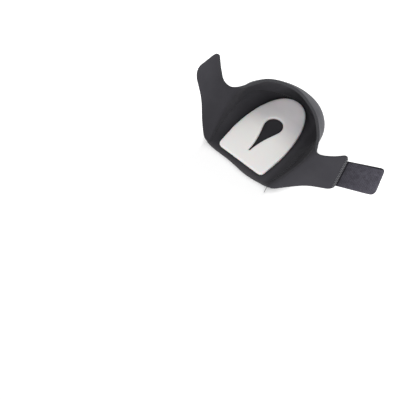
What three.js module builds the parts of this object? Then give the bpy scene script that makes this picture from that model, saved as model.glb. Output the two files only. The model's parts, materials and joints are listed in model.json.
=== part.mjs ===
// A gel heel cup: a soft heel wrap lying open on its sole, with a gel pad in it and a hook tab on one wing.
// Millimetres. X runs across the foot, Y from the toe side (minus) to the heel (plus), and Z up.
import * as THREE from "three";

// Driving dimensions.
const SHEET = 3; // foam sheet with its two cloth faces
const GAP = 0.3; // clearance between neighbouring pieces
const SEAM_END_RELIEF = 0.6; // extra clearance where the sheet twists at the seam's two front ends
const FLOOR_HALF_WIDTH = 31; // flat part of the sole, to each side of the middle
const FLOOR_HEEL_CENTRE = 11; // Y of the centre of the sole's round heel end
const WING_CORNERS = { left: { front: 9, rear: 6 }, right: { front: 5, rear: 8 } }; // corner radii
const FRONT_BULGE = { reach: 2, centreX: 12, halfWidth: 25, rungs: 4 }; // of the sole's front edge
const PAD = {
  centreX: -1.5, // of its front edge, which lies a little towards the left wing
  lean: 1, // how much further right its heel end lies
  thickness: 3.5,
  halfWidth: 30.7,
  frontHalfWidth: 29,
  frontY: -45.8,
  frontCorner: 4,
  widestY: -20,
  heelY: 43.3,
  roundness: 2.2, // exponent of the heel end's superellipse
};
const TEARDROP = {
  roundRadius: 9.7,
  roundY: 5.2,
  leaveAngle: -17, // degrees below level where the sides leave the round end
  leaveReach: 7.7, // how far they keep its direction
  waist: [1.5, -15.5], // what the sides then lean towards
  tipY: -30.8,
  tipHalfWidth: 0.8,
};
const TAB = {
  thickness: 1.8,
  reach: 37, // past the wing's end
  lean: 1.8, // how much further its toe-side corner reaches than its other one
  tuck: 10, // under the wing's end
  halfWidth: 13.4, // at the wing's end
  flare: 1.1, // to each side, at the free end
  shift: -2.2, // along the wing's end, towards the toe
  direction: [0.872, 0.474, -0.1], // the way it points
  corner: 4.5,
};

// How finely the pieces are faceted.
const STEPS_PER_SPAN = 5;
const CORNER_STEPS = 4;
const RIB_ROWS = 8;
const MARGIN_ROWS = 5;
const FLOOR_STEPS = 10;
const PAD_STEPS = 84;

// The sheet hangs on ribs that run from its lower edge to its upper edge, listed from the heel outwards.
// low and high are the rib's ends on the sheet's middle layer, and bow is how far it bulges between them.
const HEEL_RIB = { low: [0, 46.3, 4.5], high: [2, 34.5, 40.6], bow: 5.4 };
const RIGHT_RIBS = [
  { name: "quarter", low: [27, 38, 8], high: [24.8, 28.3, 42.8], bow: 7.4 },
  { name: "side_rear", low: [45, 20, 13], high: [39.8, 20.2, 43.5], bow: 5.3 },
  { name: "side_middle", low: [46, -6, 13], high: [54.8, 5.6, 41.3], bow: 3.9 },
  { name: "side_front", low: [44, -30, 8], high: [59, -1.5, 39.2], bow: 3.8 },
  { name: "seam_end", low: [39.5, -50.5, 5], high: [60.9, -4.3, 37.8], bow: 3.6 },
  { name: "fold", low: [44.5, -50, 6.3], high: [62.8, -5.6, 36.4], bow: 1.8 },
  { name: "wing_root", low: [52, -43.2, 7.8], high: [66.4, -4.7, 34.6], bow: 0.5 },
  { name: "wing_middle", low: [68.2, -28.6, 10.8], high: [75.8, 1.4, 34.3], bow: 0 },
  { name: "wing_tip", low: [91, -15, 10], high: [88.6, 12.4, 36.9], bow: 0 },
];
const LEFT_RIBS = [
  { name: "quarter", low: [-27, 38, 8], high: [-23, 25, 43.4], bow: 3.5 },
  { name: "side_rear", low: [-44.5, 20, 12.5], high: [-33.8, 13.7, 40], bow: 3.5 },
  { name: "side_middle", low: [-45.5, -6, 12.5], high: [-40.9, 3.8, 38.9], bow: 1.5 },
  { name: "side_front", low: [-44, -30, 8], high: [-46, 0.2, 38.5], bow: 0.5 },
  { name: "seam_end", low: [-39.5, -50.5, 5], high: [-50, -1.1, 37.1], bow: 3 },
  { name: "fold", low: [-44, -50, 7], high: [-54, -1.3, 36.4], bow: 2.2 },
  { name: "wing_root", low: [-54.2, -41.3, 11], high: [-62, 0.5, 36.5], bow: 0.5 },
  { name: "wing_middle", low: [-72, -22.8, 19.8], high: [-72.4, 8.3, 40.2], bow: 0 },
  { name: "wing_tip", low: [-97.2, -5.3, 28.5], high: [-83.9, 19.2, 45.4], bow: 0 },
];

const RIBS = [...LEFT_RIBS.toReversed(), HEEL_RIB, ...RIGHT_RIBS];
const LAST_RIB = RIBS.length - 1;
const SEAM_START = RIBS.findIndex((rib) => rib.name === "seam_end");
const SEAM_STOP = RIBS.findLastIndex((rib) => rib.name === "seam_end");

const UP = new THREE.Vector3(0, 0, 1);
const ribLow = (rib) => new THREE.Vector3(...rib.low);
const ribHigh = (rib) => new THREE.Vector3(...rib.high);
const ribCentre = (rib) => ribLow(rib).lerp(ribHigh(rib), 0.5);

// The middle of a rib, moved off its chord by its bow, away from the foot.
function ribMiddle(rib, k) {
  const before = ribCentre(RIBS[Math.max(k - 1, 0)]);
  const after = ribCentre(RIBS[Math.min(k + 1, LAST_RIB)]);
  const running = after.sub(before);
  const outward = ribHigh(rib).sub(ribLow(rib)).cross(running).normalize();
  return ribCentre(rib).addScaledVector(outward, rib.bow);
}

// A smooth curve through one point of every rib, which turns sharply only at the ribs in corners.
function curveThrough(points, corners = []) {
  const stops = [0, ...corners, points.length - 1];
  const pieces = stops.slice(1).map((stop, k) => {
    const start = stops[k];
    return { start, stop, curve: new THREE.CatmullRomCurve3(points.slice(start, stop + 1)) };
  });
  return (place) => {
    const { start, stop, curve } = pieces.find((piece) => place <= piece.stop);
    return curve.getPoint((place - start) / (stop - start));
  };
}

const lowEdge = curveThrough(RIBS.map(ribLow), [SEAM_START, SEAM_STOP]);
const middleLine = curveThrough(RIBS.map(ribMiddle));
const highEdge = curveThrough(RIBS.map(ribHigh));

// A point of the sheet: place counts ribs from the left tip, and t runs from its lower edge to its upper one.
function sheetPoint(place, t) {
  return lowEdge(place)
    .multiplyScalar((1 - t) * (1 - 2 * t))
    .addScaledVector(middleLine(place), 4 * t * (1 - t))
    .addScaledVector(highEdge(place), t * (2 * t - 1));
}

// The length of the sheet between two neighbouring ribs, along its centre.
function spanLength(a, b) {
  return ribCentre(RIBS[a]).distanceTo(ribCentre(RIBS[b]));
}

const LEFT_END = { corners: WING_CORNERS.left, length: spanLength(0, 1) };
const RIGHT_END = { corners: WING_CORNERS.right, length: spanLength(LAST_RIB - 1, LAST_RIB) };

// The columns at a rounded wing end, as shares of its last span, measured from the wing's end.
function endShares({ corners, length }) {
  const radius = Math.max(corners.front, corners.rear);
  return Array.from({ length: CORNER_STEPS + 1 }, (_, k) => {
    const turn = (k / CORNER_STEPS) * (Math.PI / 2);
    return (radius * (1 - Math.cos(turn))) / length;
  });
}

// The places of the sheet's columns: even along each span, and close together at the rounded wing ends.
function columnPlaces() {
  const stepsTo = (from, to) =>
    Array.from({ length: STEPS_PER_SPAN }, (_, k) => from + ((to - from) * (k + 1)) / STEPS_PER_SPAN);
  const leftEnd = endShares(LEFT_END);
  const rightEnd = endShares(RIGHT_END).map((share) => LAST_RIB - share).toReversed();
  const places = [...leftEnd, ...stepsTo(leftEnd.at(-1), 1)];
  for (let k = 1; k < LAST_RIB - 1; k += 1) {
    places.push(...stepsTo(k, k + 1));
  }
  places.push(...stepsTo(LAST_RIB - 1, rightEnd[0]), ...rightEnd.slice(1));
  return places;
}

// How far a rounded corner draws an edge in, at a distance before the end that it rounds.
function cornerInset(distance, radius) {
  if (distance >= radius) {
    return 0;
  }
  return radius - Math.sqrt(radius ** 2 - (radius - distance) ** 2);
}

// A column's share of its rib, less the rounded corners and half the seam's gap.
function ribRange(place) {
  const onLeft = place < LAST_RIB / 2;
  const { corners, length } = onLeft ? LEFT_END : RIGHT_END;
  const distance = length * (onLeft ? place : LAST_RIB - place);
  const chord = lowEdge(place).distanceTo(highEdge(place));
  const from = (GAP / 2 + cornerInset(distance, corners.front)) / chord;
  const to = 1 - cornerInset(distance, corners.rear) / chord;
  return { from, to };
}

// Triangles of a grid whose points are listed column by column.
function gridTriangles(columns, rows) {
  const triangles = [];
  for (let i = 0; i < columns - 1; i += 1) {
    for (let j = 0; j < rows - 1; j += 1) {
      const a = i * rows + j;
      const b = a + rows;
      triangles.push([a, b, b + 1], [a, b + 1, a + 1]);
    }
  }
  return triangles;
}

function meshGeometry(points, triangles) {
  const geometry = new THREE.BufferGeometry();
  geometry.setFromPoints(points);
  geometry.setIndex(triangles.flat());
  geometry.computeVertexNormals();
  return geometry;
}

function surfaceNormals(points, triangles) {
  const normals = meshGeometry(points, triangles).getAttribute("normal");
  return points.map((_, k) => new THREE.Vector3().fromBufferAttribute(normals, k));
}

// A closed solid of even thickness about an open surface, with a flat side along every open edge.
function thicken(points, triangles, normals, thickness) {
  const count = points.length;
  const inner = points.map((point, k) => point.clone().addScaledVector(normals[k], thickness / 2));
  const outer = points.map((point, k) => point.clone().addScaledVector(normals[k], -thickness / 2));
  const edges = triangles.flatMap(([a, b, c]) => [[a, b], [b, c], [c, a]]);
  const known = new Set(edges.map(([a, b]) => `${a} ${b}`));
  const openEdges = edges.filter(([a, b]) => !known.has(`${b} ${a}`));
  const faces = [
    ...triangles,
    ...triangles.map(([a, b, c]) => [c + count, b + count, a + count]),
    ...openEdges.flatMap(([a, b]) => [[b, a, a + count], [b, a + count, b + count]]),
  ];
  return meshGeometry([...inner, ...outer], faces);
}

const PLACES = columnPlaces();
const WRAP_ROWS = RIB_ROWS + 1;

// The upper: the heel wall and both wings, one sheet.
function wrapSurface() {
  const points = PLACES.flatMap((place) => {
    const { from, to } = ribRange(place);
    const share = (j) => from + ((to - from) * j) / RIB_ROWS;
    return Array.from({ length: WRAP_ROWS }, (_, j) => sheetPoint(place, share(j)));
  });
  const triangles = gridTriangles(PLACES.length, WRAP_ROWS);
  return { points, triangles, normals: surfaceNormals(points, triangles) };
}

// The point of the sole's flat floor nearest to a point of the seam.
function floorEdge(seam) {
  const middle = SHEET / 2;
  if (seam.y <= FLOOR_HEEL_CENTRE) {
    return new THREE.Vector3(Math.sign(seam.x) * FLOOR_HALF_WIDTH, seam.y, middle);
  }
  const away = new THREE.Vector2(seam.x, seam.y - FLOOR_HEEL_CENTRE).setLength(FLOOR_HALF_WIDTH);
  return new THREE.Vector3(away.x, away.y + FLOOR_HEEL_CENTRE, middle);
}

// One strip of the sole's turned-up margin, from the seam down to the flat floor.
function marginColumn(place) {
  const nudge = 0.01;
  const seam = sheetPoint(place, 0);
  const before = sheetPoint(Math.max(place - nudge, SEAM_START), 0);
  const along = sheetPoint(Math.min(place + nudge, SEAM_STOP), 0).sub(before).normalize();
  const rising = sheetPoint(place, nudge).sub(seam);
  rising.addScaledVector(along, -rising.dot(along)).normalize();
  const edge = floorEdge(seam);
  const nearEnd = Math.max(0, 1 - Math.min(place - SEAM_START, SEAM_STOP - place));
  const end = seam.clone().addScaledVector(rising, -GAP / 2 - SEAM_END_RELIEF * nearEnd);
  const reach = edge.distanceTo(end);
  const outward = end.clone().sub(edge).setZ(0).normalize();
  return Array.from({ length: MARGIN_ROWS + 1 }, (_, j) => {
    const s = 1 - j / MARGIN_ROWS;
    return edge
      .clone()
      .multiplyScalar(1 - s ** 2 * (3 - 2 * s))
      .addScaledVector(end, s ** 2 * (3 - 2 * s))
      .addScaledVector(outward, reach * s * (1 - s) ** 2)
      .addScaledVector(rising, -reach * s ** 2 * (1 - s));
  });
}

// How far a point of the sole's floor is drawn towards the toe, which fades out over the first rungs.
function frontBulge(x, rung) {
  const { reach, centreX, halfWidth, rungs } = FRONT_BULGE;
  const off = Math.min(Math.abs(x - centreX) / halfWidth, 1);
  return reach * Math.cos((off * Math.PI) / 2) ** 2 * Math.max(0, 1 - rung / rungs);
}

// Adds the sole's flat floor: rungs from side to side, from the front edge to a single point at the heel.
function addFloor(points, triangles, edge) {
  const heel = (edge.length - 1) / 2;
  const rungs = [];
  for (let i = 0; i < heel; i += 1) {
    const left = edge[i];
    const right = edge.at(-1 - i);
    const rung = [left];
    for (let k = 1; k < FLOOR_STEPS; k += 1) {
      const point = points[left].clone().lerp(points[right], k / FLOOR_STEPS);
      point.y -= frontBulge(point.x, i);
      rung.push(points.push(point) - 1);
    }
    rungs.push([...rung, right]);
  }
  for (let k = 0; k < FLOOR_STEPS; k += 1) {
    for (let i = 0; i < heel - 1; i += 1) {
      const [a, b] = [rungs[i][k], rungs[i][k + 1]];
      const [c, d] = [rungs[i + 1][k], rungs[i + 1][k + 1]];
      triangles.push([a, b, d], [a, d, c]);
    }
    triangles.push([rungs.at(-1)[k], rungs.at(-1)[k + 1], edge[heel]]);
  }
}

// The sole panel: a flat floor with its margin turned up to meet the upper at the seam.
function soleGeometry(wrap) {
  const rows = MARGIN_ROWS + 1;
  const first = PLACES.findIndex((place) => place >= SEAM_START);
  const last = PLACES.findLastIndex((place) => place <= SEAM_STOP);
  const places = PLACES.slice(first, last + 1);
  const points = places.flatMap(marginColumn);
  const triangles = gridTriangles(places.length, rows).map(([a, b, c]) => [c, b, a]);
  const edge = places.map((_, i) => i * rows + MARGIN_ROWS);
  addFloor(points, triangles, edge);
  const normals = surfaceNormals(points, triangles);
  places.forEach((_, i) => {
    normals[i * rows].copy(wrap.normals[(first + i) * WRAP_ROWS]);
    normals[edge[i]].copy(UP);
  });
  return thicken(points, triangles, normals, SHEET);
}

// The pad's outline: nearly straight sides, rounded front corners and a round heel end.
function padOutline() {
  const shape = new THREE.Shape();
  const { halfWidth, frontHalfWidth, frontY, frontCorner, widestY, heelY, roundness } = PAD;
  shape.moveTo(0, frontY);
  shape.lineTo(frontHalfWidth - frontCorner, frontY);
  shape.absarc(frontHalfWidth - frontCorner, frontY + frontCorner, frontCorner, -Math.PI / 2, 0);
  const heelSteps = 48;
  for (let k = 0; k <= heelSteps; k += 1) {
    const turn = (k / heelSteps) * Math.PI;
    const x = Math.sign(Math.cos(turn)) * Math.abs(Math.cos(turn)) ** (2 / roundness) * halfWidth;
    const y = widestY + Math.sin(turn) ** (2 / roundness) * (heelY - widestY);
    shape.lineTo(x, y);
  }
  shape.absarc(frontCorner - frontHalfWidth, frontY + frontCorner, frontCorner, Math.PI, 1.5 * Math.PI);
  shape.lineTo(0, frontY);
  return shape;
}

// The teardrop: a round end that draws in along hollow sides to a narrow tip towards the toe.
function teardropOutline() {
  const { roundRadius, roundY, leaveReach, tipY, tipHalfWidth } = TEARDROP;
  const leave = THREE.MathUtils.degToRad(TEARDROP.leaveAngle);
  const leaveX = roundRadius * Math.cos(leave);
  const leaveY = roundY + roundRadius * Math.sin(leave);
  const leadX = leaveX + leaveReach * Math.sin(leave);
  const leadY = leaveY - leaveReach * Math.cos(leave);
  const [waistX, waistY] = TEARDROP.waist;
  const shape = new THREE.Shape();
  shape.moveTo(0, tipY - tipHalfWidth);
  shape.absarc(0, tipY, tipHalfWidth, -Math.PI / 2, 0);
  shape.bezierCurveTo(waistX, waistY, leadX, leadY, leaveX, leaveY);
  shape.absarc(0, roundY, roundRadius, leave, Math.PI - leave);
  shape.bezierCurveTo(-leadX, leadY, -waistX, waistY, -tipHalfWidth, tipY);
  shape.absarc(0, tipY, tipHalfWidth, Math.PI, 1.5 * Math.PI);
  return shape;
}

// Evenly spaced points of a closed outline with, at each, the direction to its left.
function outlinePoints(shape) {
  const points = shape.getSpacedPoints(PAD_STEPS).slice(0, PAD_STEPS);
  return points.map((point, k) => {
    const before = points.at(k - 1);
    const after = points[(k + 1) % PAD_STEPS];
    const along = after.clone().sub(before).normalize();
    return { point, left: new THREE.Vector2(-along.y, along.x) };
  });
}

// The gel pad: rings of points from its outer edge to the teardrop, with softened edges.
function padGeometry() {
  const bottom = SHEET + GAP;
  const edgeProfile = [
    { inset: 0, low: 0.9, high: PAD.thickness - 1.3 },
    { inset: 0.35, low: 0.3, high: PAD.thickness - 0.5 },
    { inset: 1.3, low: 0, high: PAD.thickness },
  ];
  const betweenShares = [0.25, 0.5, 0.75];
  const outside = outlinePoints(padOutline());
  const teardrop = outlinePoints(teardropOutline());
  const edgeRing = (outline, side, { inset, low, high }) => ({
    spots: outline.map(({ point, left }) => point.clone().addScaledVector(left, side * inset)),
    low,
    high,
  });
  const outerRings = edgeProfile.map((row) => edgeRing(outside, 1, row));
  const innerRings = edgeProfile.toReversed().map((row) => edgeRing(teardrop, -1, row));
  const betweenRings = betweenShares.map((share) => ({
    spots: outerRings.at(-1).spots.map((spot, k) => spot.clone().lerp(innerRings[0].spots[k], share)),
    low: 0,
    high: PAD.thickness,
  }));
  const rings = [...outerRings, ...betweenRings, ...innerRings];
  const middleX = (y) => PAD.centreX + (PAD.lean * (y - PAD.frontY)) / (PAD.heelY - PAD.frontY);
  const lift = (ring, height) =>
    ring.spots.map((spot) => new THREE.Vector3(spot.x + middleX(spot.y), spot.y, bottom + height));
  const top = rings.map((ring) => lift(ring, ring.high));
  const under = rings.map((ring) => lift(ring, ring.low));
  const loops = [...top, ...under.toReversed()];
  const points = loops.flat();
  const triangles = [];
  loops.forEach((_, r) => {
    const here = r * PAD_STEPS;
    const next = ((r + 1) % loops.length) * PAD_STEPS;
    for (let k = 0; k < PAD_STEPS; k += 1) {
      const after = (k + 1) % PAD_STEPS;
      triangles.push([here + k, here + after, next + after], [here + k, next + after, next + k]);
    }
  });
  return meshGeometry(points, triangles);
}

// The hook tab: a thin flat strip against the outer face of the right wing's end, reaching out past it.
function tabGeometry() {
  const acrossSteps = 6;
  const offset = SHEET / 2 + GAP + TAB.thickness / 2;
  const nudge = 0.02;
  const tip = sheetPoint(LAST_RIB, 0.5);
  const across = highEdge(LAST_RIB).sub(lowEdge(LAST_RIB)).normalize();
  const normal = tip.clone().sub(sheetPoint(LAST_RIB - nudge, 0.5)).cross(across).normalize();
  const outward = new THREE.Vector3(...TAB.direction).projectOnPlane(normal).normalize();
  const distances = [-TAB.tuck, 0, TAB.reach / 3, (2 * TAB.reach) / 3];
  for (let k = 0; k <= CORNER_STEPS; k += 1) {
    const turn = (k / CORNER_STEPS) * (Math.PI / 2);
    distances.push(TAB.reach - TAB.corner * (1 - Math.sin(turn)));
  }
  const points = distances.flatMap((distance) => {
    const share = distance / TAB.reach;
    const halfWidth = TAB.halfWidth + TAB.flare * share - cornerInset(TAB.reach - distance, TAB.corner);
    return Array.from({ length: acrossSteps + 1 }, (_, j) => {
      const side = (2 * j) / acrossSteps - 1;
      return tip
        .clone()
        .addScaledVector(outward, distance - (side * share * TAB.lean) / 2)
        .addScaledVector(across, TAB.shift + halfWidth * side)
        .addScaledVector(normal, -offset);
    });
  });
  const triangles = gridTriangles(distances.length, acrossSteps + 1);
  return thicken(points, triangles, points.map(() => normal), TAB.thickness);
}

const CLOTH = { roughness: 0.95, metalness: 0 };
const MATERIALS = {
  heel_wrap: new THREE.MeshStandardMaterial({ color: 0x37373b, ...CLOTH }),
  sole_panel: new THREE.MeshStandardMaterial({ color: 0x303338, ...CLOTH }),
  gel_pad: new THREE.MeshStandardMaterial({ color: 0xe4e1df, roughness: 0.4, metalness: 0 }),
  hook_tab: new THREE.MeshStandardMaterial({ color: 0x45434b, roughness: 0.7, metalness: 0 }),
};

function addPiece(group, name, geometry) {
  const mesh = new THREE.Mesh(geometry, MATERIALS[name]);
  mesh.name = name;
  group.add(mesh);
}

const heelCup = new THREE.Group();
const wrap = wrapSurface();
addPiece(heelCup, "heel_wrap", thicken(wrap.points, wrap.triangles, wrap.normals, SHEET));
addPiece(heelCup, "sole_panel", soleGeometry(wrap));
addPiece(heelCup, "gel_pad", padGeometry());
addPiece(heelCup, "hook_tab", tabGeometry());

export default heelCup;
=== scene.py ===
import json
import math
from typing import NamedTuple

import bpy
from mathutils import Matrix, Vector

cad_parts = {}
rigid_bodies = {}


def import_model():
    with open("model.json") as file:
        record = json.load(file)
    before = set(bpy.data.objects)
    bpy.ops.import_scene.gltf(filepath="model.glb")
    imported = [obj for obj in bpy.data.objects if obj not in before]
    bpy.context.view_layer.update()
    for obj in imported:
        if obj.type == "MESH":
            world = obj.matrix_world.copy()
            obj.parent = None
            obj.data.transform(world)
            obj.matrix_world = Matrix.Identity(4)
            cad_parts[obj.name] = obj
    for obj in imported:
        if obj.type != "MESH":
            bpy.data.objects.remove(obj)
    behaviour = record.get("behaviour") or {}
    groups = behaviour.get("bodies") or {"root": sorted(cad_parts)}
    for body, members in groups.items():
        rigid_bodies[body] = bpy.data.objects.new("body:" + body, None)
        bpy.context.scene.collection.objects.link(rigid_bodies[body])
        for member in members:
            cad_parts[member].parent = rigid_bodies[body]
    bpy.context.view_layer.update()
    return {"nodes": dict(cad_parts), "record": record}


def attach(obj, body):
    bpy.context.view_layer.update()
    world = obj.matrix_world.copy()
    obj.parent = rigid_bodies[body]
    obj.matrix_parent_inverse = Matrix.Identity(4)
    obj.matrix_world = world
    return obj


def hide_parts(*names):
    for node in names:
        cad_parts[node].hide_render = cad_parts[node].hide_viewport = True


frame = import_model()

MM = 0.001

# The camera stands at the photograph's angle, turned so that the cup lies up and to the right in the frame.
VIEW_AZIMUTH = math.radians(40)
VIEW_ELEVATION = math.radians(57)
VIEW_DISTANCE = 0.8
VIEW_TARGET = Vector((14.7, 12.4, 15.0)) * MM
TARGET_PIXEL = (290, 125)
FRAME_SIDE = 400
LENS = 72  # focal length in millimetres
SENSOR = 36  # width in millimetres

# The white table, and the place in front of the cup that its glow leaves out.
TABLE_SIDE = 8
TABLE_DROP = 0.05 * MM  # keeps the table's face just below the sole's
TABLE_GLOW = 0.65
SHADOW_GLOW = 0.05  # the share of the glow that is left where the shadow shows
SHADOW_RIGHT = 40 * MM
SHADOW_RIGHT_FADE = 20 * MM
SHADOW_BACK = -45 * MM
SHADOW_BACK_FADE = 30 * MM
SHADOW_LEFT = -43.5 * MM
SHADOW_LEFT_FADE = 15 * MM

# The light, and how bright the white surroundings are.
LIGHT_PLACE = (1.35, -1.35, 1.1)
LIGHT_SIZE = 1.2
LIGHT_POWER = 13.6
SURROUNDINGS = 0.98

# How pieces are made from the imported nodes.
MERGE_DISTANCE = 0.001 * MM
BORDER_ANGLE = math.radians(50)  # a piece's faces turn by more than this at a cut edge
EDGE_CREASE = 0.88  # leaves the cut edges slightly soft without drawing them in
SUBDIVISIONS = 2
FACING_SHARE = 0.7  # the least cosine between a face and the way that it is said to look
CUT_EDGE = 2  # the material slot of a sheet's cut edges, after its inner and outer faces
DENT_SIZE = 14 * MM
DENT_DEPTH = 0.3 * MM

# The knitted faces of the sheets.
KNIT_COLUMN = 0.9 * MM
KNIT_ROW = 0.7 * MM
KNIT_LEAN = 0.5  # of a row, how far a loop climbs from its middle to its side
KNIT_GROOVE = 4  # a higher power makes the grooves between the columns narrower
KNIT_DEPTH = 0.55  # of the height, how far it falls between two rows

# How fine the grain of each finish is, in steps of noise per metre.
FIBRE_GRAIN = 1800
CLOTH_MOTTLE = 45
LOOP_TUFTS = 900
LOOP_FIBRE_ENDS = 3200
LOOP_MOTTLE = 70
FOAM_PORES = 1500
GEL_MOTTLE = 35
GEL_RIPPLE = 400
TAPE_MOTTLE = 260
TAPE_SPECKLE = 1100
TAPE_GRAIN = 1400
THREAD_TWIST = 2500
TABLE_MOTTLE = 3

# The painted shade of the wrap's lining is measured from the back wall outwards, to the wings' ends.
PAINTED_SHADE_START = 25 * MM  # what the middle of the cup counts as
PAINTED_SHADE_REACH = 125 * MM  # what the wings' ends count as
PAINTED_SHADE_SLANT = 0.51  # how the painted shade's border runs along the right wing's crease
PAINTED_SHADE_RISE = 0.8  # how much further outwards a higher place on the left wing counts
PAINTED_SHADE_MIDDLE = 25 * MM  # the height at which that makes no difference
PAINTED_SHADE_BLEND = 30 * MM  # the width in which the left side's painted shade gives way to the right side's

# The sole's lining is darker under the middle of the gel pad, and carries painted shade outwards from the pad
# towards the walls.
PATCH_MIDDLE_X = -8 * MM
PATCH_HALF_WIDTH = 31 * MM
PATCH_WIDEST_Y = -20 * MM
PATCH_HEEL_LENGTH = 85 * MM
PATCH_FRONT_Y = -45.8 * MM
PATCH_ROUNDNESS = 2.2
PATCH_FRONT_POWER = 4  # how quickly its shade turns at the front border
PATCH_SPAN = 4  # where its shades end, on a measure that is 1 along the patch's outline
FRONT_WEAR_START = -46 * MM
FRONT_WEAR_WIDTH = 10 * MM

# The gel's painted light and shade run along the pad.
PAD_LENGTH = 90 * MM
GEL_CLOUDING = 0.15  # of that length, how far the shades wander

# The sewn seam between the upper and the sole.
SEAM_FRONT = -49.5 * MM  # where the seam stops short of the sole's front edge
SEAM_REACH = 1.1 * MM  # nearer than this, an edge of one sheet lies at the other one
STITCH_PITCH = 2.2 * MM
STITCH_LENGTH = 3.4 * MM
STITCH_RISE = 0.32 * MM
STITCH_SLANT = math.radians(14)
THREAD_RADIUS = 0.2 * MM
THREAD_SIDES = 6
THREAD_STEPS = 6
THREAD_END_LENGTH = 8.7 * MM
THREAD_END_RISE = 0.8 * MM
THREAD_END_RADIUS = 1.2 * THREAD_RADIUS
THREAD_END_MIDDLE = Vector((39.35, -51.7, 2.9)) * MM
THREAD_END_ALONG = Vector((-1, -0.03, 0))
THREAD_END_NORMAL = Vector((0, -0.54, 0.84))

# The end of the right wing, along the sheet's middle layer, and the zigzag that holds the tab there.
WING_END_LOW = Vector((91, -15, 10)) * MM
WING_END_HIGH = Vector((88.6, 12.4, 36.9)) * MM
ZIGZAG_INSET = 1.3 * MM
ZIGZAG_LENGTH = 2.8 * MM
ZIGZAG_SLANT = math.radians(24)
ZIGZAG_COUNT = 38
ZIGZAG_SHARES = (0.06, 0.93)  # of the wing's end, where it starts and stops
ZIGZAG_PROBE = 10 * MM  # how far off the cloth the search for a stitch's place starts

# The hook tab's own directions: out from the wing's end, along that end, and up out of its hooks.
HOOK_FACE = next(mount for mount in frame["record"]["mounts"] if mount["name"] == "hook_face")
TAB_MIDDLE = Vector(HOOK_FACE["pos_m"])
TAB_NORMAL = Vector(HOOK_FACE["axis"])
TAB_ACROSS = (WING_END_HIGH - WING_END_LOW).normalized()
TAB_POINTING = Vector((0.872, 0.474, -0.1))
TAB_OUTWARD = (TAB_POINTING - TAB_NORMAL * TAB_POINTING.dot(TAB_NORMAL)).normalized()
TAB_SKEW = TAB_OUTWARD.dot(TAB_ACROSS)
TAB_REACH_GAUGE = (TAB_OUTWARD - TAB_ACROSS * TAB_SKEW) / (1 - TAB_SKEW ** 2)  # measures along its long edges
TAB_WIDTH_GAUGE = (TAB_ACROSS - TAB_OUTWARD * TAB_SKEW) / (1 - TAB_SKEW ** 2)  # measures along its short ones
TAB_HALF_REACH = 18.5 * MM
TAB_HALF_WIDTH = 13.4 * MM
TAB_TOP_DEPTH = 0.5 * MM  # nearer to the hooks' tops than this, a point is on the tab's top face
TAB_TUCK_START = 3 * MM  # further than this under the wing, that face keeps its height
TAB_PAINTED_SHADE = 0.62  # the painted shade at the tape's sewn end, as a share of its tone at its free end
TAB_RIM_START = 0.88  # of half its reach or width, where the dark rim starts
TAB_RIM_FULL = 0.92
TAB_UPPER_RIM = 0.95  # makes the rim along the upper edge the narrower one
HOOK_HEIGHT = 0.8 * MM
HOOK_RADIUS = 0.13 * MM
HOOK_SIDES = 5
HOOK_CROOK = 0.22 * MM
HOOK_BEND = math.radians(150)
HOOK_STEPS = 4
HOOK_PITCH_ALONG = 1.5 * MM
HOOK_PITCH_ACROSS = 1.2 * MM
HOOK_PAIRS = 11
HOOK_ROWS = 19
HOOK_FIELD_START = 2.4 * MM  # past the wing's end


class Channel:
    """A socket of a finish, so that shader maths reads as plain arithmetic."""

    def __init__(self, finish, socket):
        self.finish = finish
        self.socket = socket

    def maths(self, operation, *values):
        return self.finish.add("ShaderNodeMath", {"operation": operation}, dict(enumerate(values)))

    def __add__(self, other):
        return self.maths("ADD", self, other)

    __radd__ = __add__

    def __sub__(self, other):
        return self.maths("SUBTRACT", self, other)

    def __rsub__(self, other):
        return self.maths("SUBTRACT", other, self)

    def __mul__(self, other):
        return self.maths("MULTIPLY", self, other)

    __rmul__ = __mul__

    def __pow__(self, power):
        return self.maths("POWER", self, power)

    def __abs__(self):
        return self.maths("ABSOLUTE", self)

    def fraction(self):
        return self.maths("FRACT", self)

    def at_least(self, low):
        return self.maths("MAXIMUM", self, low)


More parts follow.
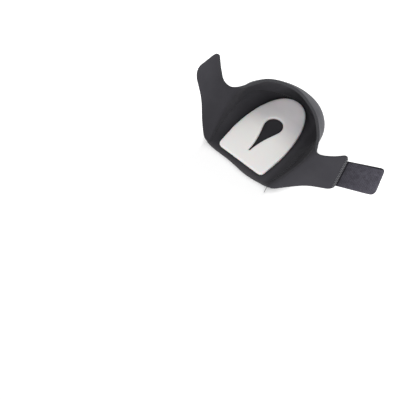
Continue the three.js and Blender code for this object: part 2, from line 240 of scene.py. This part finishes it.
class Finish:
    """One procedural material, and the one method that adds a node to it."""

    def __init__(self, name):
        self.material = bpy.data.materials.new(name)
        self.material.use_nodes = True
        self.tree = self.material.node_tree
        self.tree.nodes.clear()

    def add(self, kind, settings=None, inputs=None, output=0):
        node = self.tree.nodes.new(kind)
        for name, value in (settings or {}).items():
            if name == "stops":
                self.set_stops(node.color_ramp, value)
            else:
                setattr(node, name, value)
        for name, value in (inputs or {}).items():
            if isinstance(value, Channel):
                self.tree.links.new(value.socket, node.inputs[name])
            else:
                node.inputs[name].default_value = value
        return Channel(self, node.outputs[output])

    @staticmethod
    def set_stops(ramp, stops):
        while len(ramp.elements) < len(stops):
            ramp.elements.new(0.5)
        for element, (position, colour) in zip(ramp.elements, stops):
            element.position = position
            element.color = (*colour, 1.0)

    def place(self):
        return self.add("ShaderNodeTexCoord", output="Object")

    def axis(self, name, vector=None):
        return self.add("ShaderNodeSeparateXYZ", {}, {"Vector": vector or self.place()}, name)

    def along(self, direction, origin):
        """How far a point lies from an origin in one direction."""
        reach = sum(self.axis(name) * share for name, share in zip("XYZ", direction))
        return reach - origin.dot(direction)

    def noise(self, scale, detail=3.0, roughness=0.5):
        inputs = {"Vector": self.place(), "Scale": scale, "Detail": detail, "Roughness": roughness}
        return self.add("ShaderNodeTexNoise", {}, inputs, "Fac")

    def knit(self):
        """The height of plain knitting on the unwrapped cloth: columns of leaning loops."""
        cloth = self.add("ShaderNodeUVMap", {"uv_map": "cloth"})
        column = self.axis("X", cloth) * (1 / KNIT_COLUMN)
        lean = abs(column.fraction() * 2 - 1)
        row = self.axis("Y", cloth) * (1 / KNIT_ROW) + lean * KNIT_LEAN
        loop = abs(row.fraction() * 2 - 1)
        return (1 - lean ** KNIT_GROOVE) * (loop * KNIT_DEPTH + (1 - KNIT_DEPTH))

    def shades(self, value, *stops):
        return self.add("ShaderNodeValToRGB", {"stops": stops}, {"Fac": value}, "Color")

    def tint(self, share, first, second, blend="MIX"):
        settings = {"data_type": "RGBA", "blend_type": blend}
        return self.add("ShaderNodeMix", settings, {0: share, 6: first, 7: second}, 2)

    def bump(self, height, distance, strength=1.0):
        inputs = {"Height": height, "Distance": distance, "Strength": strength}
        return self.add("ShaderNodeBump", {}, inputs, "Normal")

    def finish(self, **inputs):
        names = {name.replace("_", " ").title(): value for name, value in inputs.items()}
        names = {name.replace("Ior", "IOR"): value for name, value in names.items()}
        shader = self.add("ShaderNodeBsdfPrincipled", {}, names, "BSDF")
        output = self.tree.nodes.new("ShaderNodeOutputMaterial")
        self.tree.links.new(shader.socket, output.inputs["Surface"])
        return self.material

    def matt_cloth(self, colour, height, sheen):
        """Ends a finish as cloth with no gloss and a little sheen."""
        return self.finish(
            base_color=colour,
            roughness=0.95,
            specular_ior_level=0.1,
            sheen_weight=sheen,
            sheen_roughness=0.5,
            normal=self.bump(height, distance=0.15 * MM, strength=0.7),
        )


WHITE = (1, 1, 1)
# a ramp that paints no shade
UNSHADED = ((0, WHITE), (1, WHITE))


def grey(level):
    return (level, level, level)


def jersey_finish(name, dark, light, left=UNSHADED, right=UNSHADED):
    """Smooth knitted face: fine columns of loops. left and right give its painted shade from the heel to the
    wings.
    """
    cloth = Finish(name)
    knit = cloth.knit()
    fibre = cloth.noise(FIBRE_GRAIN, roughness=0.7)
    shade = 0.6 * cloth.noise(CLOTH_MOTTLE, detail=2.0) + 0.2 * fibre + 0.2 * knit
    colour = cloth.shades(shade, (0.3, dark), (0.7, light))
    # Painted shade: the lining is darkened in the cup, least at the wings' ends.
    outwards = abs(cloth.axis("X")) - cloth.axis("Y") * PAINTED_SHADE_SLANT + PAINTED_SHADE_START
    raised = outwards + (cloth.axis("Z") - PAINTED_SHADE_MIDDLE) * PAINTED_SHADE_RISE
    shade_left_side = cloth.shades(raised * (1 / PAINTED_SHADE_REACH), *left)
    shade_right_side = cloth.shades(outwards * (1 / PAINTED_SHADE_REACH), *right)
    on_right = cloth.shades(cloth.axis("X") * (1 / PAINTED_SHADE_BLEND) + 0.5, (0, grey(0)), (1, WHITE))
    wear_and_painted_shade = cloth.tint(on_right, shade_left_side, shade_right_side)
    colour = cloth.tint(1.0, colour, wear_and_painted_shade, "MULTIPLY")
    return cloth.matt_cloth(colour, 0.7 * knit + 0.3 * fibre, sheen=0.04)


def lining_finish(name, dark, light, wear_and_painted_shade, patch):
    """The sole's knitted lining, paler with wear along its front. patch gives its shades from the pad
    outwards: darker under the pad's middle, and painted shade towards the walls.
    """
    cloth = Finish(name)
    knit = cloth.knit()
    fibre = cloth.noise(FIBRE_GRAIN, roughness=0.7)
    shade = 0.5 * cloth.noise(CLOTH_MOTTLE, detail=2.0) + 0.3 * fibre + 0.2 * knit
    colour = cloth.shades(shade, (0.3, dark), (0.7, light))
    # Darker under the pad's middle, then painted shade outwards from the pad towards the walls.
    across = abs(cloth.axis("X") - PATCH_MIDDLE_X) * (1 / PATCH_HALF_WIDTH)
    heelwards = (cloth.axis("Y") - PATCH_WIDEST_Y).at_least(0) * (1 / PATCH_HEEL_LENGTH)
    toewards = (cloth.axis("Y") * (1 / PATCH_FRONT_Y)).at_least(0)
    rounded = across ** PATCH_ROUNDNESS + heelwards ** PATCH_ROUNDNESS
    from_middle = rounded.at_least(toewards ** PATCH_FRONT_POWER)
    shaded = cloth.shades(from_middle * (1 / PATCH_SPAN), *patch)
    colour = cloth.tint(1.0, colour, shaded, "MULTIPLY")
    past_start = (FRONT_WEAR_START - cloth.axis("Y")) * (1 / FRONT_WEAR_WIDTH)
    front_wear = cloth.shades(past_start + (fibre - 0.5), (0.1, grey(0)), (0.7, grey(0.9)))
    colour = cloth.tint(front_wear, colour, (*wear_and_painted_shade, 1))
    return cloth.matt_cloth(colour, 0.6 * knit + 0.4 * fibre, sheen=0.04)


def loop_finish(name, dark, light):
    """Brushed loop cloth: a short felted pile with lighter fibre ends."""
    cloth = Finish(name)
    tufts = cloth.noise(LOOP_TUFTS, detail=4.0, roughness=0.65)
    ends = cloth.noise(LOOP_FIBRE_ENDS, detail=2.0, roughness=0.6)
    shade = 0.4 * cloth.noise(LOOP_MOTTLE) + 0.4 * tufts + 0.2 * ends
    colour = cloth.shades(shade, (0.34, dark), (0.66, light))
    return cloth.matt_cloth(colour, 1.4 * tufts + 0.6 * ends, sheen=0.12)


def foam_finish(name, dark, light):
    """The cut edge of the foam sheet, with its fine pores."""
    foam = Finish(name)
    pores = foam.noise(FOAM_PORES, detail=2.0, roughness=0.6)
    colour = foam.shades(pores, (0.35, dark), (0.6, light))
    return foam.matt_cloth(colour, pores, sheen=0.02)


def gel_finish(name, shades):
    """Milky satin gel, with painted light and shade that run from the front to the heel."""
    gel = Finish(name)
    # Painted light and shade along the pad: darker behind the teardrop, paler towards the heel end.
    heelwards = gel.axis("Y") * (1 / PAD_LENGTH) + 0.5
    clouding = GEL_CLOUDING * (gel.noise(GEL_MOTTLE, detail=2.0) - 0.5)
    colour = gel.shades(heelwards + clouding, *shades)
    return gel.finish(
        base_color=colour,
        roughness=0.42,
        subsurface_weight=0.25,
        subsurface_scale=3 * MM,
        normal=gel.bump(gel.noise(GEL_RIPPLE, detail=2.0), distance=0.03 * MM, strength=0.4),
    )


def tape_finish(name, dark, light, rim, gloss):
    """Hook tape: dull violet-grey nylon, with painted shade that darkens it towards its sewn end. rim darkens
    its sewn edge, as a painted shadow of the wing's end, and its upper edge.
    """
    tape = Finish(name)
    mottle = 0.6 * tape.noise(TAPE_MOTTLE, roughness=0.6) + 0.4 * tape.noise(TAPE_SPECKLE, detail=2.0)
    colour = tape.shades(mottle, (0.36, dark), (0.64, light))
    along = tape.along(TAB_REACH_GAUGE, TAB_MIDDLE) * (1 / TAB_HALF_REACH)
    across = tape.along(TAB_WIDTH_GAUGE, TAB_MIDDLE) * (1 / TAB_HALF_WIDTH)
    # Painted shade: the tape darkens towards its sewn end, under the wing.
    painted_wing_shade = tape.shades(0.5 * along + 0.5, (0.05, grey(TAB_PAINTED_SHADE)), (0.95, WHITE))
    # The dark rim along the sewn end is a painted shadow of the wing's end; the rim darkens the upper edge
    # too.
    near_edge = (0 - along).at_least(across * TAB_UPPER_RIM)
    edging = tape.shades(near_edge, (TAB_RIM_START, WHITE), (TAB_RIM_FULL, grey(rim)))
    colour = tape.tint(1.0, tape.tint(1.0, colour, painted_wing_shade, "MULTIPLY"), edging, "MULTIPLY")
    normal = tape.bump(tape.noise(TAPE_GRAIN, detail=2.0), distance=0.1 * MM, strength=0.6)
    return tape.finish(base_color=colour, roughness=0.6, specular_ior_level=gloss, normal=normal)


def thread_finish(name, dark, light):
    """Spun sewing thread."""
    thread = Finish(name)
    colour = thread.shades(thread.noise(THREAD_TWIST, detail=2.0), (0.35, dark), (0.65, light))
    return thread.finish(base_color=colour, roughness=0.8, specular_ior_level=0.2, sheen_weight=0.1)


def floor_finish(name):
    """A white table, lit from within except in front of the cup, so that only the shadow there shows."""
    floor = Finish(name)
    colour = floor.shades(floor.noise(TABLE_MOTTLE, detail=2.0), (0.3, grey(0.88)), (0.7, grey(0.90)))
    rightwards = (floor.axis("X") - SHADOW_RIGHT) * (1 / SHADOW_RIGHT_FADE)
    backwards = (floor.axis("Y") - SHADOW_BACK) * (1 / SHADOW_BACK_FADE)
    leftwards = (SHADOW_LEFT - floor.axis("X")) * (1 / SHADOW_LEFT_FADE)
    away = rightwards.at_least(backwards).at_least(leftwards)
    glow = floor.shades(away, (0.0, grey(SHADOW_GLOW)), (1.0, WHITE))
    return floor.finish(
        base_color=colour,
        roughness=0.8,
        emission_color=glow,
        emission_strength=TABLE_GLOW,
    )


# Painted shade of the wrap's lining, from the back wall to the end of each wing.
PAINTED_SHADE_LEFT = (
    (0.0, grey(0.42)),
    (0.07, grey(0.58)),
    (0.15, grey(0.92)),
    (0.44, grey(0.88)),
    (0.6, grey(0.66)),
    (0.7, grey(0.65)),
    (0.8, grey(0.72)),
    (0.9, grey(0.90)),
    (1.0, WHITE),
)
PAINTED_SHADE_RIGHT = (
    (0.03, grey(0.38)),
    (0.13, grey(0.49)),
    (0.2, grey(0.90)),
    (0.44, grey(0.43)),
    (0.64, grey(0.38)),
    (0.7, grey(0.54)),
    (0.75, grey(0.78)),
    (0.95, grey(0.93)),
)

# Shades of the sole's lining, from the middle of the pad outwards: darker under its middle, then painted
# shade towards the walls.
PATCH_SHADES = (
    (0.1, grey(0.57)),
    (0.2, grey(0.64)),
    (0.32, grey(0.86)),
    (0.43, grey(0.96)),
    (0.55, grey(0.68)),
    (0.8, grey(0.48)),
)

# Painted light and shade of the gel, from the pad's front to its heel end.
GEL_PAINTED_SHADES = (
    (0.0, (0.74, 0.725, 0.715)),
    (0.41, (0.77, 0.755, 0.735)),
    (0.62, (0.645, 0.626, 0.631)),
    (0.76, (0.66, 0.637, 0.65)),
    (0.95, (0.93, 0.90, 0.93)),
)

# The finishes, most of them with their darkest and their lightest colour.
JERSEY = jersey_finish(
    "charcoal_jersey",
    (0.0437, 0.0426, 0.0493),
    (0.0618, 0.0600, 0.0685),
    left=PAINTED_SHADE_LEFT,
    right=PAINTED_SHADE_RIGHT,
)
LOOP_CLOTH = loop_finish("brushed_loop_cloth", (0.062, 0.062, 0.069), (0.107, 0.106, 0.117))
SOLE_LINING = lining_finish(
    "sole_lining",
    (0.0372, 0.0360, 0.0410),
    (0.0558, 0.0545, 0.0615),
    wear_and_painted_shade=(0.059, 0.056, 0.058),
    patch=PATCH_SHADES,
)
SOLE_CLOTH = jersey_finish("sole_knit", (0.040, 0.042, 0.047), (0.058, 0.060, 0.066))
CUT_FOAM = foam_finish("cut_foam", (0.040, 0.040, 0.044), (0.062, 0.062, 0.067))
GEL = gel_finish("milky_gel", GEL_PAINTED_SHADES)
TAPE_GROUND = tape_finish(
    "tape_ground",
    (0.055, 0.052, 0.065),
    (0.091, 0.087, 0.107),
    rim=0.3,
    gloss=0.05,
)
HOOK_NYLON = tape_finish(
    "hook_nylon",
    (0.071, 0.067, 0.084),
    (0.124, 0.119, 0.148),
    rim=1.0,
    gloss=0.3,
)
SEAM_THREAD = thread_finish("seam_thread", (0.026, 0.026, 0.029), (0.042, 0.042, 0.047))
ZIGZAG_THREAD = thread_finish("zigzag_thread", (0.11, 0.11, 0.117), (0.18, 0.18, 0.19))


def only(*pieces):
    """Makes these the only selected objects, and the first of them the active one."""
    bpy.ops.object.select_all(action="DESELECT")
    for piece in pieces:
        piece.select_set(True)
    bpy.context.view_layer.objects.active = pieces[0]


def edit(piece, mode="FACE"):
    only(piece)
    bpy.ops.object.mode_set(mode="EDIT")
    bpy.ops.mesh.select_mode(type=mode)


def done():
    bpy.ops.object.mode_set(mode="OBJECT")


def apply_modifier(piece, kind, **settings):
    only(piece)
    modifier = piece.modifiers.new(kind.lower(), kind)
    for name, value in settings.items():
        setattr(modifier, name, value)
    bpy.ops.object.modifier_apply(modifier=modifier.name)


def subdivide(piece):
    apply_modifier(piece, "SUBSURF", levels=SUBDIVISIONS, render_levels=SUBDIVISIONS)
    bpy.ops.object.shade_smooth()


def copy_node(node, name):
    """A new piece that starts as a merged copy of a CAD node, its triangles paired into quads."""
    piece = bpy.data.objects.new(name, frame["nodes"][node].data.copy())
    bpy.context.collection.objects.link(piece)
    piece.data.materials.clear()
    edit(piece)
    bpy.ops.mesh.customdata_custom_splitnormals_clear()
    bpy.ops.mesh.select_all(action="SELECT")
    bpy.ops.mesh.remove_doubles(threshold=MERGE_DISTANCE)
    bpy.ops.mesh.tris_convert_to_quads(face_threshold=math.pi, shape_threshold=math.pi)
    done()
    return piece


def select_nothing(piece):
    edit(piece)
    bpy.ops.mesh.select_all(action="DESELECT")
    done()


def mark_borders(piece):
    """Marks and creases the edges where a piece's faces turn sharply into its cut edges."""
    edit(piece, "EDGE")
    bpy.ops.mesh.select_all(action="DESELECT")
    bpy.ops.mesh.edges_select_sharp(sharpness=BORDER_ANGLE)
    bpy.ops.mesh.mark_seam()
    bpy.ops.transform.edge_crease(value=EDGE_CREASE)
    done()


def sharpen_seam(piece, neighbour):
    """Creases the marked edges that lie at the neighbouring sheet, so that the two close up tightly."""
    bpy.context.view_layer.update()
    reached = []
    for point in piece.data.vertices:
        found, *_ = neighbour.closest_point_on_mesh(point.co, distance=SEAM_REACH)
        reached.append(found)
    select_nothing(piece)
    for edge in piece.data.edges:
        edge.select = edge.use_seam and all(reached[index] for index in edge.vertices)
    edit(piece, "EDGE")
    bpy.ops.transform.edge_crease(value=1.0)
    done()


class Layer(NamedTuple):
    """One face of a sheet: a place on it in millimetres, the way that it looks there, and its finish."""

    place: tuple
    facing: tuple
    finish: bpy.types.Material


def paint_layer(piece, layer, slot):
    """Gives a slot to the polygon nearest to a layer's place that looks its way, and to all that it joins."""
    place = Vector(layer.place) * MM
    facing = Vector(layer.facing)
    seeds = [face for face in piece.data.polygons if face.normal.dot(facing) > FACING_SHARE]
    nearest = min(seeds, key=lambda face: (face.center - place).length).index
    select_nothing(piece)
    piece.data.polygons[nearest].select = True
    edit(piece)
    bpy.ops.mesh.select_linked(delimit={"SEAM"})
    piece.active_material_index = slot
    bpy.ops.object.material_slot_assign()
    done()


def unwrap(piece):
    """Unwraps a piece at its true size, so that one unit of its map is a metre of cloth."""
    edit(piece)
    bpy.ops.mesh.select_all(action="SELECT")
    bpy.ops.uv.unwrap(method="ANGLE_BASED", margin=0.001)
    done()
    layer = piece.data.uv_layers.active
    layer.name = "cloth"
    flat_area = 0
    for face in piece.data.polygons:
        corners = [layer.data[index].uv for index in face.loop_indices]
        pairs = zip(corners, corners[1:] + corners[:1])
        flat_area += abs(sum(here.cross(there) for here, there in pairs)) / 2
    true_area = sum(face.area for face in piece.data.polygons)
    scale = math.sqrt(true_area / flat_area)
    for corner in layer.data:
        corner.uv = corner.uv * scale


def sheet_piece(node, name, neighbour, inner, outer):
    """A foam sheet: an inner layer, an outer layer and soft cut edges."""
    piece = copy_node(node, name)
    for finish in (inner.finish, outer.finish, CUT_FOAM):
        piece.data.materials.append(finish)
    mark_borders(piece)
    sharpen_seam(piece, frame["nodes"][neighbour])
    piece.data.polygons.foreach_set("material_index", [CUT_EDGE] * len(piece.data.polygons))
    for slot, layer in enumerate((inner, outer)):
        paint_layer(piece, layer, slot)
    unwrap(piece)
    subdivide(piece)
    return piece


def dent(piece):
    """Leaves the sheet slightly uneven, as handled foam is."""
    dents = bpy.data.textures.new("soft_dents", "CLOUDS")
    dents.noise_scale = DENT_SIZE
    apply_modifier(
        piece,
        "DISPLACE",
        texture=dents,
        texture_coords="LOCAL",
        strength=DENT_DEPTH,
        mid_level=0.5,
    )


def thread_arc(name, length, rise, radius):
    """A short thread along Y that comes up out of the cloth and dips back into it."""
    bend = length ** 2 / (8 * rise) + rise / 2
    sweep = 2 * math.asin(length / 2 / bend)
    centre = Vector((0, 0, rise - bend))
    start = centre + bend * Vector((0, -math.sin(sweep / 2), math.cos(sweep / 2)))
    tilt = (sweep / 2 - math.pi / 2, 0, 0)
    bpy.ops.object.select_all(action="DESELECT")
    bpy.ops.mesh.primitive_circle_add(
        vertices=THREAD_SIDES,
        radius=radius,
        fill_type="NGON",
        location=start,
        rotation=tilt,
    )
    thread = bpy.context.active_object
    thread.name = name
    bpy.ops.object.transform_apply()
    edit(thread)
    bpy.ops.mesh.select_all(action="SELECT")
    bpy.ops.mesh.spin(steps=THREAD_STEPS, angle=sweep, center=centre, axis=(1, 0, 0))
    bpy.ops.mesh.select_all(action="SELECT")
    bpy.ops.mesh.normals_make_consistent(inside=False)
    done()
    bpy.ops.object.shade_smooth()
    return thread


def frame_at(point, along, normal, turn=0.0):
    """A place on the cloth: X along, Z out of the cloth, turned about Z."""
    across = normal.cross(along).normalized()
    axes = Matrix((across.cross(normal), across, normal)).transposed().to_4x4()
    return Matrix.Translation(point) @ axes @ Matrix.Rotation(turn, 4, "Z")


def scatter(name, models, finish):
    """One piece made of copies of small models, each given with the places that it stands at."""
    copies = []
    for model, places in models:
        for place in places:
            mesh = model.data.copy()
            mesh.transform(place)
            copy = bpy.data.objects.new(name, mesh)
            bpy.context.collection.objects.link(copy)
            copies.append(copy)
        bpy.data.objects.remove(model)
    only(*copies)
    bpy.ops.object.join()
    piece = copies[0]
    piece.data.materials.append(finish)
    return piece


def seam_route(piece, layer):
    """The edge of one face of the sheet along the seam: points, each with that face's normal."""
    mesh = piece.data
    faces_at = {}
    for face in mesh.polygons:
        for key in face.edge_keys:
            faces_at.setdefault(key, []).append(face)
    links = {}
    normals = {}
    for key, faces in faces_at.items():
        by_slot = {face.material_index: face for face in faces}
        behind_front = all(mesh.vertices[index].co.y > SEAM_FRONT for index in key)
        if set(by_slot) != {layer, CUT_EDGE} or not behind_front:
            continue
        for here, there in (key, reversed(key)):
            links.setdefault(here, []).append(there)
            normals[here] = by_slot[layer].normal.copy()
    ends = [index for index, near in links.items() if len(near) == 1]
    here = min(ends, key=lambda index: mesh.vertices[index].co.x)
    behind = None
    route = []
    while here is not None:
        route.append((mesh.vertices[here].co.copy(), normals[here]))
        ahead = [index for index in links[here] if index != behind]
        behind = here
        here = ahead[0] if ahead else None
    return route


def stitch_places(route):
    """A place for a stitch at every pitch along a route."""
    places = []
    left = STITCH_PITCH / 2
    for (start, normal), (stop, _) in zip(route, route[1:]):
        run = stop - start
        while left <= run.length:
            places.append(frame_at(start + run.normalized() * left, run.normalized(), normal, STITCH_SLANT))
            left += STITCH_PITCH
        left -= run.length
    return places


def add_seam_stitches(sole):
    """The ladder of stitches over the seam, inside and outside, with a loose thread at its right end."""
    stitch = thread_arc("stitch", STITCH_LENGTH, STITCH_RISE, THREAD_RADIUS)
    places = [place for layer in (0, 1) for place in stitch_places(seam_route(sole, layer))]
    end = thread_arc("thread_end", THREAD_END_LENGTH, THREAD_END_RISE, THREAD_END_RADIUS)
    end_place = frame_at(THREAD_END_MIDDLE, THREAD_END_ALONG, THREAD_END_NORMAL.normalized())
    return scatter("seam_stitches", [(stitch, places), (end, [end_place])], SEAM_THREAD)


def add_zigzag(wing, tab):
    """The zigzag along the wing's end that holds the tab, on the wing's face and on the tab's back."""
    bpy.context.view_layer.update()
    stitch = thread_arc("stitch", ZIGZAG_LENGTH, STITCH_RISE, THREAD_RADIUS)
    first, last = ZIGZAG_SHARES
    places = []
    for k in range(ZIGZAG_COUNT):
        share = first + (last - first) * k / (ZIGZAG_COUNT - 1)
        spot = WING_END_LOW.lerp(WING_END_HIGH, share) - TAB_OUTWARD * ZIGZAG_INSET
        for cloth, side in ((wing, TAB_NORMAL), (tab, -TAB_NORMAL)):
            hit, point, normal, _ = cloth.ray_cast(spot + side * ZIGZAG_PROBE, -side)
            if hit:
                places.append(frame_at(point, TAB_ACROSS, normal, ZIGZAG_SLANT * (-1) ** k))
    return scatter("tab_zigzag", [(stitch, places)], ZIGZAG_THREAD)


def add_tab():
    """The tab's ground tape: the CAD tab with its free top face lowered by the height of the hooks."""
    tab = copy_node("hook_tab", "hook_tape_tab")
    tab.data.materials.append(TAPE_GROUND)
    select_nothing(tab)
    for point in tab.data.vertices:
        offset = point.co - TAB_MIDDLE
        on_top = offset.dot(TAB_NORMAL) > -TAB_TOP_DEPTH
        point.select = on_top and offset.dot(TAB_OUTWARD) > -TAB_HALF_REACH - TAB_TUCK_START
    edit(tab, "VERT")
    bpy.ops.transform.translate(value=TAB_NORMAL * -HOOK_HEIGHT)
    done()
    mark_borders(tab)
    subdivide(tab)
    return tab


def add_hook():
    """One nylon hook: a stem that bends over at the top."""
    bpy.ops.object.select_all(action="DESELECT")
    bpy.ops.mesh.primitive_circle_add(vertices=HOOK_SIDES, radius=HOOK_RADIUS, fill_type="NGON")
    hook = bpy.context.active_object
    stem = HOOK_HEIGHT - HOOK_CROOK - HOOK_RADIUS
    edit(hook)
    bpy.ops.mesh.select_all(action="SELECT")
    bpy.ops.mesh.extrude_region_move(TRANSFORM_OT_translate={"value": (0, 0, stem)})
    bpy.ops.mesh.spin(steps=HOOK_STEPS, angle=HOOK_BEND, center=(HOOK_CROOK, 0, stem), axis=(0, -1, 0))
    bpy.ops.mesh.select_all(action="SELECT")
    bpy.ops.mesh.normals_make_consistent(inside=False)
    done()
    return hook


def add_hooks():
    """The field of hooks: rows that bend alternately to each side."""
    hook = add_hook()
    turned = Matrix.Translation((HOOK_PITCH_ALONG, 0, 0)) @ Matrix.Rotation(math.pi / 2, 4, "Z")
    places = [Matrix.Rotation(-math.pi / 2, 4, "Z"), turned]
    field = scatter("tape_hooks", [(hook, places)], HOOK_NYLON)
    steps = ((HOOK_PAIRS, (2 * HOOK_PITCH_ALONG, 0, 0)), (HOOK_ROWS, (0, HOOK_PITCH_ACROSS, 0)))
    for count, step in steps:
        apply_modifier(
            field,
            "ARRAY",
            count=count,
            use_relative_offset=False,
            use_constant_offset=True,
            constant_offset_displace=step,
        )
    axes = Matrix((TAB_OUTWARD, TAB_ACROSS, TAB_NORMAL)).transposed().to_4x4()
    corner = TAB_MIDDLE - TAB_NORMAL * HOOK_HEIGHT
    corner += TAB_OUTWARD * (HOOK_FIELD_START - TAB_HALF_REACH)
    corner -= TAB_ACROSS * HOOK_PITCH_ACROSS * (HOOK_ROWS - 1) / 2
    field.data.transform(Matrix.Translation(corner) @ axes)
    bpy.ops.object.shade_smooth()
    return field


heel_wrap = sheet_piece(
    "heel_wrap",
    "heel_wrap_cloth",
    "sole_panel",
    Layer(place=(0, 38, 25), facing=(0, -1, 0), finish=JERSEY),
    Layer(place=(0, 50, 25), facing=(0, 1, 0), finish=LOOP_CLOTH),
)
dent(heel_wrap)
sole_panel = sheet_piece(
    "sole_panel",
    "sole_panel_cloth",
    "heel_wrap",
    Layer(place=(0, -20, 3), facing=(0, 0, 1), finish=SOLE_LINING),
    Layer(place=(0, -20, 0), facing=(0, 0, -1), finish=SOLE_CLOTH),
)
gel_pad = copy_node("gel_pad", "gel_heel_pad")
gel_pad.data.materials.append(GEL)
subdivide(gel_pad)
hook_tab = add_tab()
tape_hooks = add_hooks()
seam_stitches = add_seam_stitches(sole_panel)
tab_zigzag = add_zigzag(heel_wrap, hook_tab)


def add_camera():
    data = bpy.data.cameras.new("photo_camera")
    data.lens = LENS
    data.sensor_width = SENSOR
    camera = bpy.data.objects.new("photo_camera", data)
    bpy.context.collection.objects.link(camera)
    level = math.cos(VIEW_ELEVATION)
    back = Vector((
        math.sin(VIEW_AZIMUTH) * level,
        -math.cos(VIEW_AZIMUTH) * level,
        math.sin(VIEW_ELEVATION),
    ))
    focal = LENS / SENSOR * FRAME_SIDE
    right = (TARGET_PIXEL[0] - FRAME_SIDE / 2) / focal
    up = (FRAME_SIDE / 2 - TARGET_PIXEL[1]) / focal
    turn = Vector((right, up, -1)).rotation_difference(Vector((0, 0, -1)))
    camera.rotation_mode = "QUATERNION"
    camera.rotation_quaternion = (-back).to_track_quat("-Z", "Y") @ turn
    camera.location = VIEW_TARGET + back * VIEW_DISTANCE
    bpy.context.scene.camera = camera


def add_floor():
    bpy.ops.object.select_all(action="DESELECT")
    bpy.ops.mesh.primitive_plane_add(size=TABLE_SIDE, location=(0, 0, -TABLE_DROP))
    floor = bpy.context.active_object
    floor.name = "floor"
    floor.data.materials.append(floor_finish("white_table"))


def add_light():
    bpy.ops.object.light_add(type="AREA", location=LIGHT_PLACE)
    light = bpy.context.active_object
    light.name = "front_light"
    light.data.size = LIGHT_SIZE
    light.data.energy = LIGHT_POWER
    light.rotation_mode = "QUATERNION"
    light.rotation_quaternion = (-Vector(LIGHT_PLACE)).to_track_quat("-Z", "Y")


def add_surroundings():
    world = bpy.data.worlds.new("white_studio")
    world.use_nodes = True
    background = world.node_tree.nodes["Background"]
    background.inputs["Color"].default_value = (*WHITE, 1)
    background.inputs["Strength"].default_value = SURROUNDINGS
    bpy.context.scene.world = world


add_camera()
add_floor()
add_light()
add_surroundings()
bpy.context.scene.view_settings.view_transform = "Standard"

for piece, node, slot in (
    (heel_wrap, "heel_wrap", "wrap_cloth"),
    (sole_panel, "sole_panel", "sole_cloth"),
    (gel_pad, "gel_pad", "gel"),
    (hook_tab, "hook_tab", "hook_tape"),
    (tape_hooks, None, "hook_tape"),
    (seam_stitches, None, "wrap_cloth"),
    (tab_zigzag, None, "wrap_cloth"),
):
    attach(piece, "root")
    if node:
        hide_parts(node)
